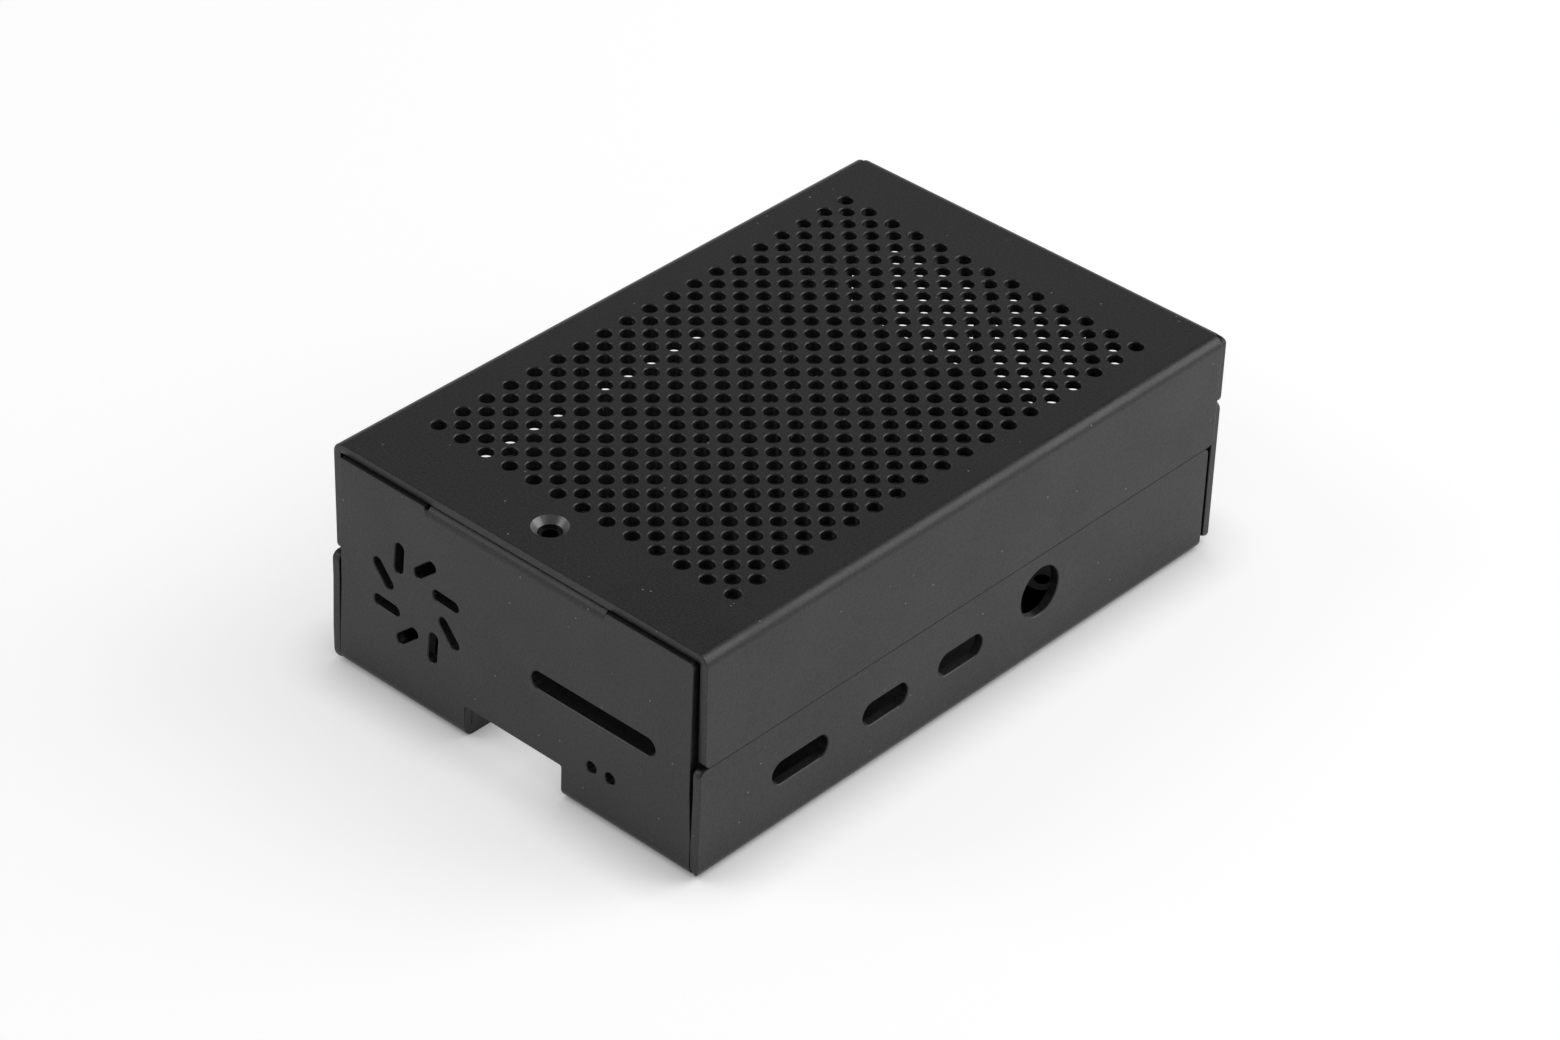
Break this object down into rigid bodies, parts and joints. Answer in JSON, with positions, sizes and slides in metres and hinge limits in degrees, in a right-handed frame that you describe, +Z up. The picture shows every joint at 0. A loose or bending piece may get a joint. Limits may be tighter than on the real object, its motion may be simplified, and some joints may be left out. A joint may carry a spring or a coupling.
{
  "type": "single board computer case",
  "caption": "Folded sheet metal case for a small computer board, with a perforated cover that lifts off a tray with port cut-outs.",
  "frame": {"origin": "middle of the tray's underside, on the surface that the case stands on", "axes": "+X towards the end with the socket windows, -Y towards the side with the power slot, +Z up through the cover"},
  "size_m": [0.0944, 0.061, 0.0315],
  "materials": {
    "black_coating": "matte black coating with a fine texture",
    "plated_steel": "plated, satin"
  },
  "bodies": {
    "tray": {"base_tray": "black_coating", "board_standoffs": "plated_steel", "cover_nut": "plated_steel"},
    "cover": {"top_cover": "black_coating"}
  },
  "joints": [
    {"name": "cover_lift", "type": "slide", "parent": "tray", "child": "cover", "axis": [0, 0, 1], "range_m": [0, 0.02]}
  ]
}
